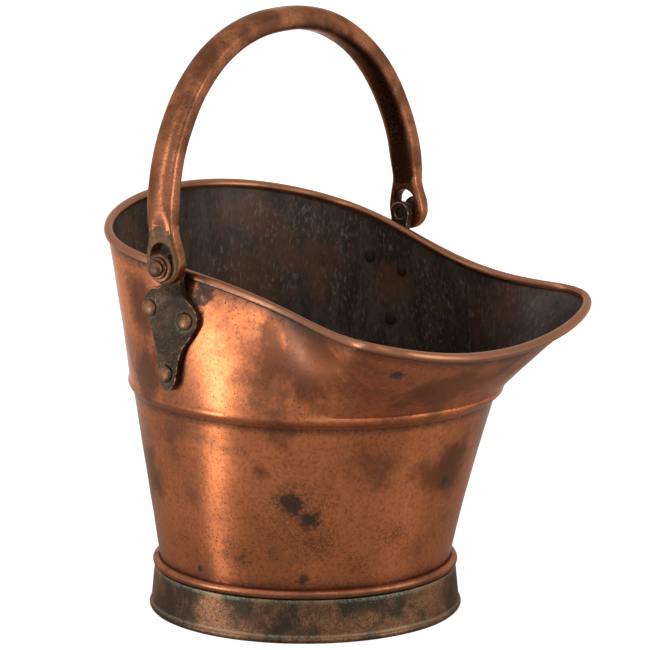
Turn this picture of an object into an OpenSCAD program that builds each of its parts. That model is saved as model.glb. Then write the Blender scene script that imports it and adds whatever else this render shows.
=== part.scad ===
// Copper coal scuttle with a swing handle, in millimetres.
// +X points out over the pouring lip and +Z up. The origin is the middle of the
// foot ring, on the floor. The right side is -Y and the left side is +Y.

/* [Sheet] */
// Thickness of the body sheet
sheet_t = 1.2; // [0.8:0.1:1.6]
// Thickness of the foot band and the bottom pan
band_t = 1.1; // [0.8:0.1:1.5]

/* [Foot] */
// Radius of the foot over its wired bottom edge
foot_radius = 118; // [100:0.1:135]
// Height of the foot band, up to the shelf that carries the bead
foot_height = 32.4; // [24:0.1:60]
// Radius of the wired roll round the bottom edge
foot_roll_r = 2.7; // [2.4:0.1:4]
// Depth of the flat that is worn on the underside of the roll
foot_flat = 0.2; // [0.1:0.05:0.3]
// How far the band's outer face sits inside the foot radius, just over the roll
band_inset = 1.7; // [1.4:0.1:2.2]
// How much narrower the band is at its top
band_taper = 2.4; // [0:0.1:3]
// How far the body stands inside the foot radius
body_inset = 8.2; // [7:0.1:12]
// How far the bead on top of the foot band stands out from the body
bead_depth = 5.3; // [4:0.1:6]
// Radius of the bead's rounded side
bead_r = 3.6; // [3:0.1:4.5]
// How far the bottom pan sits above the floor
pan_height = 30; // [16:1:44]
// Height of the flange that is turned down round the bottom pan
pan_flange = 10; // [5:1:14]

/* [Waist] */
// Length of the body across the waist, from back to front
waist_length = 281.5; // [240:0.5:330]
// Width of the body across the waist
waist_width = 257; // [230:1:300]
// How far the middle of the waist lies in front of the foot
waist_shift = 8.2; // [0:0.1:20]
// Height of the middle of the waist rib
waist_height = 172.2; // [140:0.1:205]
// How far the rib stands out of the wall below it
rib_depth = 3.6; // [1:0.1:5]
// How much further out the wall above the waist starts than the wall below it
waist_step = 2.7; // [0:0.1:3.5]
// How much more of that step there is under the lip
lip_step = 4.6; // [0:0.1:6]
// How far the wall below the waist sinks in at mid height, under the lip
wall_hollow = 1.9; // [0:0.1:4]
// Height of the rib
rib_height = 10; // [6:0.5:16]
// How sharply the wall above the waist flares, 1 being straight
flare = 1.05; // [1:0.05:2]

/* [Rim] */
// Length of the rim over the middle of its roll
rim_length = 334; // [290:1:380]
// How far the middle of the rim's length lies in front of the foot
rim_shift = 32.5; // [15:0.5:45]
// How far the widest part of the rim is pushed towards the lip
lip_fullness = 15.5; // [0:0.5:25]
// Half width of the rim, before the corners of the outline are filled out
rim_half_width = 142; // [125:1:160]
// How far the corners of the rim's outline are filled out
rim_corner = 32; // [10:1:40]
// Mean height of the rim
rim_height = 260.7; // [235:0.1:300]
// How far the back rises over the mean height, and the lip falls under it
rim_rise = 34.5; // [10:0.5:45]
// Radius of the rolled edge
rim_roll_r = 3.6; // [3:0.1:5]

/* [Brackets] */
// Thickness of the bracket plates
plate_t = 4.8; // [3:0.1:6]
// Half the width of a plate, across its upper rivets
plate_half = 25.2; // [22:0.1:28]
// Half the width of the tongue round the lower rivet
tongue_half = 9.6; // [8.2:0.1:12]
// How far the tongue reaches down past the lower rivet
tongue_low = 12.5; // [10:0.1:14]
// How far the lower rivet sits behind the pivots
plate_back = 7.1; // [0:0.1:14]
// Height of the lower rivet over the top of the rib
plate_rise = 20; // [16:0.1:30]
// Height of the middle of the two upper rivets over the lower one
rivet_rise = 43.7; // [38:0.1:48]
// How far that middle sits behind the lower rivet
rivet_shift = 2.2; // [-1:0.1:3]
// Half the distance between the two upper rivets
rivet_spread = 16.6; // [14:0.1:17]
// How steeply the line of the upper rivets falls towards the lip, in degrees
rivet_fall = 11.4; // [0:0.1:14]
// Radius of the rivet shanks
rivet_r = 2.6; // [1.5:0.1:3.5]
// Radius of the domed rivet heads
rivet_head_r = 6.6; // [5:0.1:7]
// Height of the domed rivet heads
rivet_head_h = 3.2; // [2:0.1:5]
// Height over which a bracket bends out from the wall to its knuckle
bend_height = 18.2; // [12:0.1:30]

/* [Handle] */
// Place of the pivots along the body
pivot_x = -13.5; // [-30:0.5:5]
// Height of the pivots over the middle of the rim's roll beside them
pivot_rise = 8.2; // [4:0.1:20]
// How far the inner face of a knuckle stands outside the rim's roll
knuckle_gap = 3.8; // [1:0.1:8]
// Thickness of the knuckle at the top of a bracket
knuckle_t = 6.2; // [5:0.1:12]
// Radius of the knuckle
knuckle_r = 9.2; // [8.5:0.1:13]
// Radius of the pin's barrel, which carries the handle's eye
barrel_r = 5; // [4.5:0.1:7]
// Radius of the pin's ends, in the knuckle and in the collar
journal_r = 4; // [3:0.1:4.2]
// Radius of the collar that keeps the eye on its pin
collar_r = 10.8; // [8.5:0.1:12]
// Thickness of the collar
collar_t = 6.4; // [3:0.1:7]
// Radius of the pin's button head
button_r = 6.3; // [5:0.1:7]
// Height of the pin's button head
button_h = 3.8; // [2:0.1:5]
// Thickness of the eyes
eye_t = 11; // [7:0.1:13]
// Width of the eyes
eye_width = 32; // [30:0.5:36]
// Width of the slot in an eye
slot_width = 20.5; // [16:0.5:22]
// Height of the slot in an eye
slot_height = 23; // [21:0.5:26]
// Depth of metal under the slot
eye_floor = 8; // [5:0.1:9]
// How far the middle of the bar stands outside the middle of the eyes
bow_offset = 6.2; // [4:0.1:8]
// Height of the bow over the pivots, to the edges of the bar's outer face
bow_rise = 166.6; // [130:0.1:200]
// How square the bow's arch is, 2 being an ellipse
bow_squareness = 2.2; // [2:0.01:2.6]
// Width of the bar
bar_width = 24; // [20:0.5:28]
// How far the bar's outer face bulges out
bar_bulge = 7; // [4:0.1:9]
// Depth of the bar behind the edges of its outer face
bar_depth = 11.2; // [8:0.1:13]
// Share of the bulge that is left where the bar meets the eyes
bulge_neck = 0.25; // [0.2:0.01:1]
// Share of the depth that is left there
depth_neck = 0.98; // [0.6:0.01:1]
// Width of the bar there
neck_width = 22.5; // [20:0.5:26]
// Wall of the hollow bar
bar_wall = 1.6; // [1.2:0.1:2]
// Height over the pivots at which the hollow bar meets its cast eyes
bar_foot = 30; // [28:1:40]
// How far the handle leans back as it stands, in degrees
handle_lean = 4.1; // [0:0.1:8]

/* [Hidden] */

copper = [0.66, 0.39, 0.25];
dark_copper = [0.45, 0.27, 0.18];
patina = [0.33, 0.29, 0.22];
iron = [0.27, 0.25, 0.23];
brassy = [0.55, 0.44, 0.28];

// Clearances: between turned parts, between a part and the body's sheet, between a
// shank and its hole, and between parts that move on each other
seam_gap = 0.1;
sheet_gap = 0.3;
press_gap = 0.05;
loose_gap = 0.3;
// Depth that a cut reaches past the face it opens
over = 1;

// How finely the shapes that a formula gives are divided
columns = 88;
wall_steps = 4;
rib_steps = 8;
flare_steps = 7;
curl_steps = 10;
bow_steps = 44;
section_sides = 16;
$fn = 64;

foot_roll_z = foot_roll_r - foot_flat;
foot_roll_radius = foot_radius - foot_roll_r;
band_low_r = foot_radius - band_inset;
band_top_r = band_low_r - band_taper;
body_foot_r = foot_radius - body_inset;
body_bottom = pan_height + band_t - pan_flange;
shoulder_z = foot_height + 2 * bead_r;
rib_bottom = waist_height - rib_height / 2;
rib_top = waist_height + rib_height / 2;

// The sheet is drawn in upright planes that all pass through one axis. It stands
// between the middle of the foot and the lip, where every level is seen round it.
hub_x = 20;
roll_mid_r = rim_roll_r - sheet_t / 2;
curl_angle = 315;
curl_start = 190;

// The rim's roll, at t = 0 over the lip and t = 180 over the back. The small
// waves give the pouring edge its level throat and its drooping tip.
rim_waves = [4.5, -3, -1.5, -2.5];
function rim_x(t) = rim_shift + lip_fullness + rim_length / 2 * cos(t) - lip_fullness * cos(2 * t);
function rim_y(t) = rim_half_width * sin(t) + rim_corner * sin(3 * t);
function rim_z(t) = rim_height - rim_rise * cos(t)
    + rim_waves[0] * cos(2 * t) + rim_waves[1] * cos(3 * t)
    + rim_waves[2] * cos(4 * t) + rim_waves[3] * cos(5 * t);
function rim_bearing(t) = atan2(rim_y(t), rim_x(t) - hub_x);
function rim_reach(t) = norm([rim_x(t) - hub_x, rim_y(t)]);

// Distance from the hub axis, on a bearing, to an upright ellipse
function reach(bearing, mid_x, half_length, half_width) =
    let (
        d = hub_x - mid_x,
        a = pow(cos(bearing) / half_length, 2) + pow(sin(bearing) / half_width, 2),
        b = 2 * d * cos(bearing) / pow(half_length, 2),
        c = pow(d / half_length, 2) - 1
    )
    (-b + sqrt(b * b - 4 * a * c)) / (2 * a);
function foot_reach(bearing) = let (r = body_foot_r - sheet_t / 2) reach(bearing, 0, r, r);
function lip_share(bearing) = pow((1 + cos(bearing)) / 2, 2);
function step_out(bearing) = waist_step + lip_step * lip_share(bearing);
function waist_reach(bearing) =
    reach(bearing, waist_shift, (waist_length - sheet_t) / 2, (waist_width - sheet_t) / 2);

// Slope of the sheet where it meets the roll, and the point where it gets there
function rim_slope(t) = atan2(rim_z(t) - rib_top,
    flare * (rim_reach(t) - step_out(rim_bearing(t)) - waist_reach(rim_bearing(t))));
function roll_point(t, angle) =
    [rim_reach(t) + roll_mid_r * cos(angle), rim_z(t) + roll_mid_r * sin(angle)];
function flare_point(t, share) =
    let (
        low = waist_reach(rim_bearing(t)) + step_out(rim_bearing(t)),
        top = roll_point(t, rim_slope(t) + curl_start)
    )
    [low + (top[0] - low) * pow(share, flare), rib_top + (top[1] - rib_top) * share];

// The wall below the waist, and the rib, which is a hump on top of a smooth step
// from the lower wall to the upper one
function lower_wall(share, foot, waist, bearing) =
    foot + (waist - foot) * share - wall_hollow * lip_share(bearing) * sin(180 * share);
function rib_reach(share, bearing) =
    (rib_depth - waist_step / 2) * pow(sin(180 * share), 2)
    + step_out(bearing) * (1 - cos(180 * share)) / 2;

// Middle line of the sheet in one upright plane, from the skirt to the curl's end
function sheet_line(t) =
    let (bearing = rim_bearing(t), foot = foot_reach(bearing), waist = waist_reach(bearing))
    concat(
        [[foot, body_bottom]],
        [for (i = [0 : wall_steps - 1])
            [lower_wall(i / wall_steps, foot, waist, bearing),
                shoulder_z + (rib_bottom - shoulder_z) * i / wall_steps]],
        [for (i = [0 : rib_steps])
            [waist + rib_reach(i / rib_steps, bearing), rib_bottom + rib_height * i / rib_steps]],
        [for (i = [1 : flare_steps]) flare_point(t, i / flare_steps)],
        [for (i = [1 : curl_steps])
            roll_point(t, rim_slope(t) + curl_start - curl_angle * i / curl_steps)]
    );

// A line moved sideways by d, to its left where d is positive
function unit(v) = v / norm(v);
function side_step(line, i, d) =
    let (
        last = len(line) - 1,
        along = unit(line[min(i + 1, last)] - line[max(i - 1, 0)])
    )
    line[i] + d * [-along[1], along[0]];
function thickened(line, t) = concat(
    [for (i = [0 : len(line) - 1]) side_step(line, i, -t / 2)],
    [for (i = [len(line) - 1 : -1 : 0]) side_step(line, i, t / 2)]);

// Points of one section of [reach, height] pairs, stood up on a bearing
function stood_up(section, bearing) =
    [for (p = section) [hub_x + p[0] * cos(bearing), p[0] * sin(bearing), p[1]]];

// Skin over equal sections that follow each other in a ring or in a row
module skin(sections, ring) {
    count = len(sections);
    n = len(sections[0]);
    points = [for (s = sections) for (p = s) p];
    walls = [for (i = [0 : count - (ring ? 1 : 2)]) for (j = [0 : n - 1])
        let (
            a = i * n + j,
            b = i * n + (j + 1) % n,
            c = ((i + 1) % count) * n + (j + 1) % n,
            d = ((i + 1) % count) * n + j
        )
        each [[a, b, c], [a, c, d]]];
    strips = ring ? [] : [for (k = [0 : n / 2 - 2]) [k, k + 1, n - 2 - k, n - 1 - k]];
    first_end = [for (q = strips) [q[3], q[2], q[1], q[0]]];
    last_end = [for (q = strips) [for (j = q) (count - 1) * n + j]];
    polyhedron(points = points, faces = concat(walls, first_end, last_end), convexity = 8);
}

// The wall between the waist and the rim, as seen from the side
function bisect(low, high, steps, test) =
    steps == 0 ? (low + high) / 2 :
    let (mid = (low + high) / 2)
    test(mid) ? bisect(mid, high, steps - 1, test) : bisect(low, mid, steps - 1, test);
function wall_point(bearing, z) =
    let (
        t = bisect(0, 180, 16, function (t) rim_bearing(t) < bearing),
        top = flare_point(t, 1)[1],
        share = max(0, min(1, (z - rib_top) / (top - rib_top))),
        r = flare_point(t, share)[0]
    )
    [hub_x + r * cos(bearing), r * sin(bearing)];
function wall_y(x, z) =
    wall_point(bisect(60, 140, 16, function (b) wall_point(b, z)[0] > x), z)[1] + sheet_t / 2;

// Pivots, over the place where the rim's roll passes them
rim_side = bisect(30, 150, 20, function (t) rim_x(t) > pivot_x);
pivot_z = rim_z(rim_side) + pivot_rise;
knuckle_in = rim_y(rim_side) + rim_roll_r + knuckle_gap;

// Rivets of a bracket, as [x, z] on the wall
plate_x = pivot_x - plate_back;
plate_z = rib_top + plate_rise;
rivet_middle = [plate_x - rivet_shift, plate_z + rivet_rise];
rivet_way = rivet_spread * [cos(rivet_fall), -sin(rivet_fall)];
lower_rivet = [plate_x, plate_z];
back_rivet = rivet_middle - rivet_way;
front_rivet = rivet_middle + rivet_way;
plate_rivets = [lower_rivet, back_rivet, front_rivet];

// Stack on a pivot, outwards from the middle of the body
knuckle_out = knuckle_in + knuckle_t;
eye_in = knuckle_out + loose_gap;
eye_out = eye_in + eye_t;
collar_in = eye_out + loose_gap;
collar_out = collar_in + collar_t;
bow_half_span = (eye_in + eye_out) / 2 + bow_offset;

// Children stand at a rivet with +Z out of the left wall and zero on its face
module at_rivet(p) {
    step = 2;
    slope_x = (wall_y(p[0] + step, p[1]) - wall_y(p[0] - step, p[1])) / (2 * step);
    slope_z = (wall_y(p[0], p[1] + step) - wall_y(p[0], p[1] - step)) / (2 * step);
    outward = unit([-slope_x, 1, -slope_z]);
    translate([p[0], wall_y(p[0], p[1]), p[1]])
        rotate([0, acos(outward[2]), atan2(outward[1], outward[0])])
            children();
}

// Children are drawn on the left side, with +Z out along the left pivot's axis
module at_pivot(y) {
    translate([pivot_x, y, pivot_z])
        rotate([-90, 0, 0])
            children();
}

// The same on both sides of the body
module on_side(side) {
    if (side > 0)
        children();
    else
        mirror([0, 1, 0])
            children();
}

module body_shell() {
    color(copper)
        difference() {
            skin([for (i = [0 : columns - 1])
                let (t = 360 * i / columns)
                stood_up(thickened(sheet_line(t), sheet_t), rim_bearing(t))], true);
            for (side = [-1, 1], p = plate_rivets)
                on_side(side)
                    at_rivet(p)
                        translate([0, 0, -sheet_t - 2 * over])
                            cylinder(r = rivet_r + press_gap, h = sheet_t + 4 * over);
        }
}

// The iron wire that the rim is rolled round
module rim_wire() {
    wire_r = rim_roll_r - sheet_t - loose_gap;
    sides = 8;
    color(iron)
        skin([for (i = [0 : columns - 1])
            let (t = 360 * i / columns)
            stood_up([for (k = [0 : sides - 1])
                [rim_reach(t) + wire_r * cos(360 * k / sides),
                    rim_z(t) + wire_r * sin(360 * k / sides)]], rim_bearing(t))], true);
}

// A shallow pan pushed up into the body's skirt, with its flange turned down
module base_pan() {
    pan_r = body_foot_r - sheet_t - sheet_gap;
    color(dark_copper)
        difference() {
            translate([0, 0, body_bottom])
                cylinder(r = pan_r, h = pan_flange, $fn = 128);
            translate([0, 0, body_bottom - over])
                cylinder(r = pan_r - band_t, h = pan_flange + over - band_t, $fn = 128);
        }
}

// Skirting band: wired roll at the floor, a wall that leans in a little and a
// narrow shelf turned in towards the body
module foot_band() {
    shelf_in = body_foot_r + sheet_gap;
    wire_hole = foot_roll_r - band_t;
    color(patina)
        rotate_extrude($fn = 128)
            difference() {
                union() {
                    translate([foot_roll_radius, foot_roll_z])
                        circle(r = foot_roll_r, $fn = 48);
                    polygon([
                        [band_low_r - band_t, foot_roll_z], [band_low_r, foot_roll_z],
                        [band_low_r, 2 * foot_roll_r], [band_top_r, foot_height],
                        [shelf_in, foot_height], [shelf_in, foot_height - band_t],
                        [band_top_r - band_t, foot_height - band_t],
                        [band_low_r - band_t, 2 * foot_roll_r]]);
                }
                translate([foot_roll_radius, foot_roll_z])
                    circle(r = wire_hole, $fn = 48);
                translate([foot_roll_radius - 2 * foot_roll_r, -foot_roll_r])
                    square([4 * foot_roll_r, foot_roll_r]);
            }
}

module foot_wire() {
    color(iron)
        rotate_extrude($fn = 128)
            translate([foot_roll_radius, foot_roll_z])
                circle(r = foot_roll_r - band_t - seam_gap, $fn = 32);
}

// Half-round moulding in the corner between the shelf and the body
module foot_bead() {
    bead_in = body_foot_r + sheet_gap;
    bead_out = body_foot_r + bead_depth;
    color(copper)
        rotate_extrude($fn = 128)
            intersection() {
                translate([bead_out - bead_r, foot_height + seam_gap + bead_r])
                    circle(r = bead_r, $fn = 48);
                translate([bead_in, foot_height])
                    square([bead_depth, 3 * bead_r]);
            }
}

// Smooth closed line through points, with n steps between two of them
function eased(p, n) = let (count = len(p)) [for (i = [0 : count - 1], k = [0 : n - 1])
    let (
        a = p[(i + count - 1) % count],
        b = p[i],
        c = p[(i + 1) % count],
        d = p[(i + 2) % count],
        s = k / n
    )
    b + s * (c - a) / 2 + s * s * (2 * a - 5 * b + 4 * c - d) / 2
        + s * s * s * (3 * b - a - 3 * c + d) / 2];

// One edge of a plate from the tongue up to the shoulder, to the front with side 1 and
// to the back with side -1. Zero is the lower rivet. The shoulders fall with the line
// of the upper rivets.
function plate_edge(side) =
    let (
        w = plate_half,
        t = tongue_half,
        h = rivet_rise - side * 1.15 * rivet_spread * sin(rivet_fall)
    )
    [for (p = [[0.68 * t, -0.74 * tongue_low], [t, -2], [t + 1.2, 10], [t + 4.4, 20],
        [w - 5.9, h - 12.4], [w - 2, h - 5.2], [w, h + 0.3], [w - 1, h + 6.8],
        [w - 4.4, h + 11.3], [w - 9.2, h + 15.3]])
        [side * p[0], p[1]]];
module plate_outline() {
    back_edge = plate_edge(-1);
    last = len(back_edge) - 1;
    translate([plate_x, plate_z])
        polygon(eased(concat([[0, -tongue_low]], plate_edge(1),
            [for (i = [last : -1 : 0]) back_edge[i]]), 3));
}

// Neck from the top of the plate up to the pivot
module neck_outline() {
    low_half = knuckle_r + 1.2;
    high_half = knuckle_r - 1;
    low_z = plate_z + rivet_rise + 8;
    polygon([
        [plate_x - low_half, low_z], [pivot_x - high_half, pivot_z],
        [pivot_x + high_half, pivot_z], [plate_x + low_half, low_z]]);
}

// Metal that follows the wall, then bends out over the rim to the knuckle
module bracket_metal() {
    bend_high = pivot_z - knuckle_r;
    bend_low = bend_high - bend_height;
    x_steps = 12;
    plate_steps = 10;
    bend_steps = 8;
    half = plate_half + 6;
    z_low = plate_z - tongue_low - 1;
    function bend(z) =
        let (s = max(0, min(1, (z - bend_low) / (bend_high - bend_low))))
        s * s * (3 - 2 * s);
    function blend(a, b, s) = a + (b - a) * s;
    heights = concat(
        [for (j = [0 : plate_steps]) blend(z_low, bend_low, j / plate_steps)],
        [for (j = [1 : bend_steps]) blend(bend_low, bend_high, j / bend_steps)],
        [pivot_z]);
    layer = [for (z = heights)
        [for (i = [0 : x_steps]) let (x = blend(plate_x - half, plate_x + half, i / x_steps))
            [x, wall_y(x, min(z, bend_low)), z]]];
    function metal(p, wall_off, knuckle_y) =
        [p[0], blend(p[1] + wall_off, knuckle_y, bend(p[2])), p[2]];
    skin([for (row = layer) concat(
        [for (p = row) metal(p, sheet_gap + plate_t, knuckle_out)],
        [for (i = [x_steps : -1 : 0]) metal(row[i], sheet_gap, knuckle_in)])], false);
}

// Disc whose edge is worked into two rounded ridges
module ridged_disc(r, t, bore_r) {
    ridge_r = t / 4;
    rotate_extrude()
        union() {
            translate([bore_r, 0])
                square([r - ridge_r - bore_r, t]);
            for (k = [1, 3])
                translate([r - ridge_r, k * ridge_r])
                    circle(r = ridge_r, $fn = 32);
        }
}

module bracket() {
    slab = 60;
    color(patina)
        difference() {
            union() {
                intersection() {
                    bracket_metal();
                    translate([0, knuckle_in + slab / 2, 0])
                        rotate([90, 0, 0])
                            linear_extrude(slab)
                                union() {
                                    plate_outline();
                                    neck_outline();
                                }
                }
                at_pivot(knuckle_in)
                    ridged_disc(knuckle_r, knuckle_t, journal_r / 2);
            }
            at_pivot(knuckle_in - over)
                cylinder(r = journal_r + press_gap, h = knuckle_t + 2 * over);
            for (p = plate_rivets)
                at_rivet(p)
                    translate([0, 0, -over])
                        cylinder(r = rivet_r + press_gap, h = plate_t + 4 * over);
        }
}

// Rivet with a domed head outside and a flat hammered tail inside
module rivet(p) {
    tail_r = 4.3;
    tail_h = 1.5;
    tail_z = -sheet_t - sheet_gap - tail_h;
    head_z = plate_t + 2 * sheet_gap;
    dome_r = (rivet_head_r * rivet_head_r + rivet_head_h * rivet_head_h) / (2 * rivet_head_h);
    color(brassy)
        at_rivet(p) {
            translate([0, 0, tail_z])
                cylinder(r = tail_r, h = tail_h);
            translate([0, 0, tail_z])
                cylinder(r = rivet_r, h = head_z - tail_z + over);
            translate([0, 0, head_z])
                intersection() {
                    translate([0, 0, rivet_head_h - dome_r])
                        sphere(r = dome_r);
                    cylinder(r = rivet_head_r, h = rivet_head_h);
                }
        }
}

// Shouldered pin: pressed into the knuckle, its barrel through the eye's slot, its
// end hammered into a button over the collar
module pivot_pin() {
    recess = 2;
    dome_r = (button_r * button_r + button_h * button_h) / (2 * button_h);
    color(brassy) {
        at_pivot(knuckle_in + recess)
            cylinder(r = journal_r, h = collar_out - knuckle_in - recess + over);
        at_pivot(knuckle_out)
            cylinder(r = barrel_r, h = collar_in - knuckle_out);
        at_pivot(collar_out)
            intersection() {
                translate([0, 0, button_h - dome_r])
                    sphere(r = dome_r);
                cylinder(r = button_r, h = button_h);
            }
    }
}

module pin_collar() {
    color(brassy)
        at_pivot(collar_in)
            ridged_disc(collar_r, collar_t, journal_r + press_gap);
}

// Line of the bow, in a plane through the pivots, at angle a from the left
function bow_y(a) = bow_half_span * sign(cos(a)) * pow(abs(cos(a)), 2 / bow_squareness);
function bow_z(a) = bow_rise * pow(abs(sin(a)), 2 / bow_squareness);
bow_start = asin(pow(bar_foot / bow_rise, bow_squareness / 2));
bow_step = (180 - 2 * bow_start) / bow_steps;

// Half-round section of the bar, as [along X, outwards] pairs, slimmer near the eyes
function swelling(z, neck) =
    let (s = max(0, min(1, (z - bar_foot) / bar_foot)))
    neck + (1 - neck) * s * s * (3 - 2 * s);
function bar_section(z, inset) =
    let (
        half = bar_width / 2 * swelling(z, neck_width / bar_width) - inset,
        bulge = bar_bulge * swelling(z, bulge_neck) - inset,
        depth = bar_depth * swelling(z, depth_neck) - inset
    )
    [for (k = [0 : section_sides - 1])
        let (
            a = -360 * k / section_sides,
            outer = sin(a) > 0,
            power = outer ? 0.9 : 0.62
        )
        [half * sign(cos(a)) * pow(abs(cos(a)), power),
            (outer ? bulge : depth) * sign(sin(a)) * pow(abs(sin(a)), power)]];
function bow_ring(a, inset) =
    let (
        along = unit([bow_y(a + 0.5) - bow_y(a - 0.5), bow_z(a + 0.5) - bow_z(a - 0.5)]),
        outward = [along[1], -along[0]]
    )
    [for (p = bar_section(bow_z(a), inset))
        [p[0], bow_y(a) + p[1] * outward[0], bow_z(a) + p[1] * outward[1]]];

// A length of the bow's bar, counted in steps from the left foot
module bar(first, last, inset) {
    skin([for (i = [first : last]) bow_ring(bow_start + bow_step * i, inset)], false);
}

// The handle's parts are drawn upright about the pivots and then leaned back
module in_handle() {
    translate([pivot_x, 0, pivot_z])
        rotate([0, -handle_lean, 0])
            children();
}

module handle_bow() {
    color(copper)
        in_handle()
            difference() {
                bar(-1, bow_steps + 1, 0);
                bar(-2, bow_steps + 2, bar_wall);
                translate([-bar_width, -2 * bow_half_span, 0])
                    cube([2 * bar_width, 4 * bow_half_span, bar_foot]);
            }
}

// Cast eye with an upright slot, and a tang that is soldered into the hollow bar
module handle_eye() {
    slot_low = -barrel_r - loose_gap;
    slot_r = slot_width / 2;
    eye_r = eye_width / 2;
    eye_mid = slot_low - eye_floor + eye_r;
    slot_top = slot_low + slot_height;
    shoulder = bar_foot - seam_gap;
    color(brassy)
        in_handle() {
            translate([0, eye_out, 0])
                rotate([90, 0, 0])
                    linear_extrude(eye_t)
                        difference() {
                            union() {
                                translate([0, eye_mid])
                                    circle(r = eye_r);
                                polygon([
                                    [-eye_r, eye_mid], [-eye_r + 0.8, eye_mid + 5],
                                    [-neck_width / 2, shoulder], [neck_width / 2, shoulder],
                                    [eye_r - 0.8, eye_mid + 5], [eye_r, eye_mid]]);
                            }
                            translate([0, slot_low + slot_r])
                                circle(r = slot_r);
                            translate([0, slot_top - slot_r])
                                circle(r = slot_r);
                            translate([-slot_r, slot_low + slot_r])
                                square([slot_width, slot_height - slot_width]);
                        }
            bar(-1, 3, bar_wall + 2 * sheet_gap);
        }
}

body_shell();
rim_wire();
base_pan();
foot_band();
foot_wire();
foot_bead();
on_side(-1) bracket();  // right_bracket
on_side(-1) rivet(front_rivet);  // right_front_rivet
on_side(-1) rivet(back_rivet);  // right_back_rivet
on_side(-1) rivet(lower_rivet);  // right_lower_rivet
on_side(-1) pivot_pin();  // right_pivot_pin
on_side(-1) pin_collar();  // right_pin_collar
on_side(1) bracket();  // left_bracket
on_side(1) rivet(front_rivet);  // left_front_rivet
on_side(1) rivet(back_rivet);  // left_back_rivet
on_side(1) rivet(lower_rivet);  // left_lower_rivet
on_side(1) pivot_pin();  // left_pivot_pin
on_side(1) pin_collar();  // left_pin_collar
handle_bow();
on_side(-1) handle_eye();  // right_handle_eye
on_side(1) handle_eye();  // left_handle_eye
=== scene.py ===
# %% [markdown]
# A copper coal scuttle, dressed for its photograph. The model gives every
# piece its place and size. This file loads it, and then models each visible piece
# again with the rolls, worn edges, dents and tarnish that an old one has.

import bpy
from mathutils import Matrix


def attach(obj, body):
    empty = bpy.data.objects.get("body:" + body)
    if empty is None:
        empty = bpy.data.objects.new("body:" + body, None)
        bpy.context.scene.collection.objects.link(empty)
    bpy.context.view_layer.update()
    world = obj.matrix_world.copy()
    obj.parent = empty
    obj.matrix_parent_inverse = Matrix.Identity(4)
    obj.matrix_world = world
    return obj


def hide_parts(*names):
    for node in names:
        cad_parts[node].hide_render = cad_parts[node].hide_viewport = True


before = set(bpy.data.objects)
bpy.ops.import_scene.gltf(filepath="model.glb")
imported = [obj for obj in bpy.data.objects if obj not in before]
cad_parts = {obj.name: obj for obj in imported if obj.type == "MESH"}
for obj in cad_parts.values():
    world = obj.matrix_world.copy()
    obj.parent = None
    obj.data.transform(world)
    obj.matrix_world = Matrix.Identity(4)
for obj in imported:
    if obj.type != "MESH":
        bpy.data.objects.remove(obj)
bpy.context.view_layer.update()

# %% Tools that the later cells use
from math import acos, atan2, cos, degrees, hypot, pi, radians, sin, sqrt

import bmesh
import bpy
from mathutils import Matrix, Vector, noise

MM = 0.001
scene = bpy.context.scene
scene.view_settings.view_transform = "Standard"


def put(name, data):
    """A new object in the scene, which shows the given data."""
    thing = bpy.data.objects.new(name, data)
    scene.collection.objects.link(thing)
    return thing


def put_mesh(name, bm):
    """A new object in the scene with a mesh made from bm, which is used up."""
    mesh = bpy.data.meshes.new(name)
    bm.to_mesh(mesh)
    bm.free()
    return put(name, mesh)


print("colours are shown plainly:", scene.view_settings.view_transform)

# %% [markdown]
# The camera stands where the photographer's did: far off with a long lens, 12 degrees
# over the table, so the foot shows as a flat ellipse and hardly any perspective.

# %% Camera
CAMERA_AZIMUTH, CAMERA_PITCH = 40, 12.108
camera = put("camera", bpy.data.cameras.new("camera"))
camera.location = (2.3685, -2.7993, 1.0019)
camera.rotation_euler = (radians(90 - CAMERA_PITCH), 0, radians(CAMERA_AZIMUTH))
camera.data.lens = 276.92
camera.data.clip_end = 60
scene.camera = camera
print("camera at", tuple(camera.location), "lens", camera.data.lens)

# %% [markdown]
# A node tree is long to write by hand, so a few helpers add a node, feed its sockets
# and hand back its output. A feed is either a plain value or another node's output.

# %% Helpers for node trees
def tone(red, green, blue):
    """A colour given in screen values, 0 to 255, as the linear values that shaders want."""
    def line(v):
        v /= 255
        return v / 12.92 if v <= 0.04045 else ((v + 0.055) / 1.055) ** 2.4
    return (line(red), line(green), line(blue), 1)


def feed(tree, node, feeds):
    """Links or sets each of a node's sockets that feeds names."""
    for key, value in feeds.items():
        if isinstance(value, bpy.types.NodeSocket):
            tree.links.new(value, node.inputs[key])
        else:
            node.inputs[key].default_value = value


def add(tree, kind, feeds, out=0, **settings):
    """Adds a node, sets it up, feeds it, and returns one of its outputs."""
    node = tree.nodes.new(kind)
    for key, value in settings.items():
        setattr(node, key, value)
    feed(tree, node, feeds)
    return node.outputs[out]


def calc(tree, operation, a, b):
    """A sum, a product or another operation on two values."""
    return add(tree, "ShaderNodeMath", {0: a, 1: b}, operation=operation, use_clamp=False)


def times(tree, a, b):
    return calc(tree, "MULTIPLY", a, b)


def between(tree, value, low, high, to_low=0.0, to_high=1.0):
    """A soft step: to_low under low, to_high over high."""
    return add(tree, "ShaderNodeMapRange",
        {"Value": value, "From Min": low, "From Max": high, "To Min": to_low, "To Max": to_high},
        interpolation_type="SMOOTHSTEP")


def blend(tree, share, a, b):
    """Colour b over colour a."""
    return add(tree, "ShaderNodeMix", {0: share, 6: a, 7: b}, out=2, data_type="RGBA")


def cover(tree, color, *layers):
    """Lays shades over a colour in turn, each where its mask is and up to its share."""
    for mask, share, shade in layers:
        color = blend(tree, times(tree, mask, share), color, tone(*shade))
    return color


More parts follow.
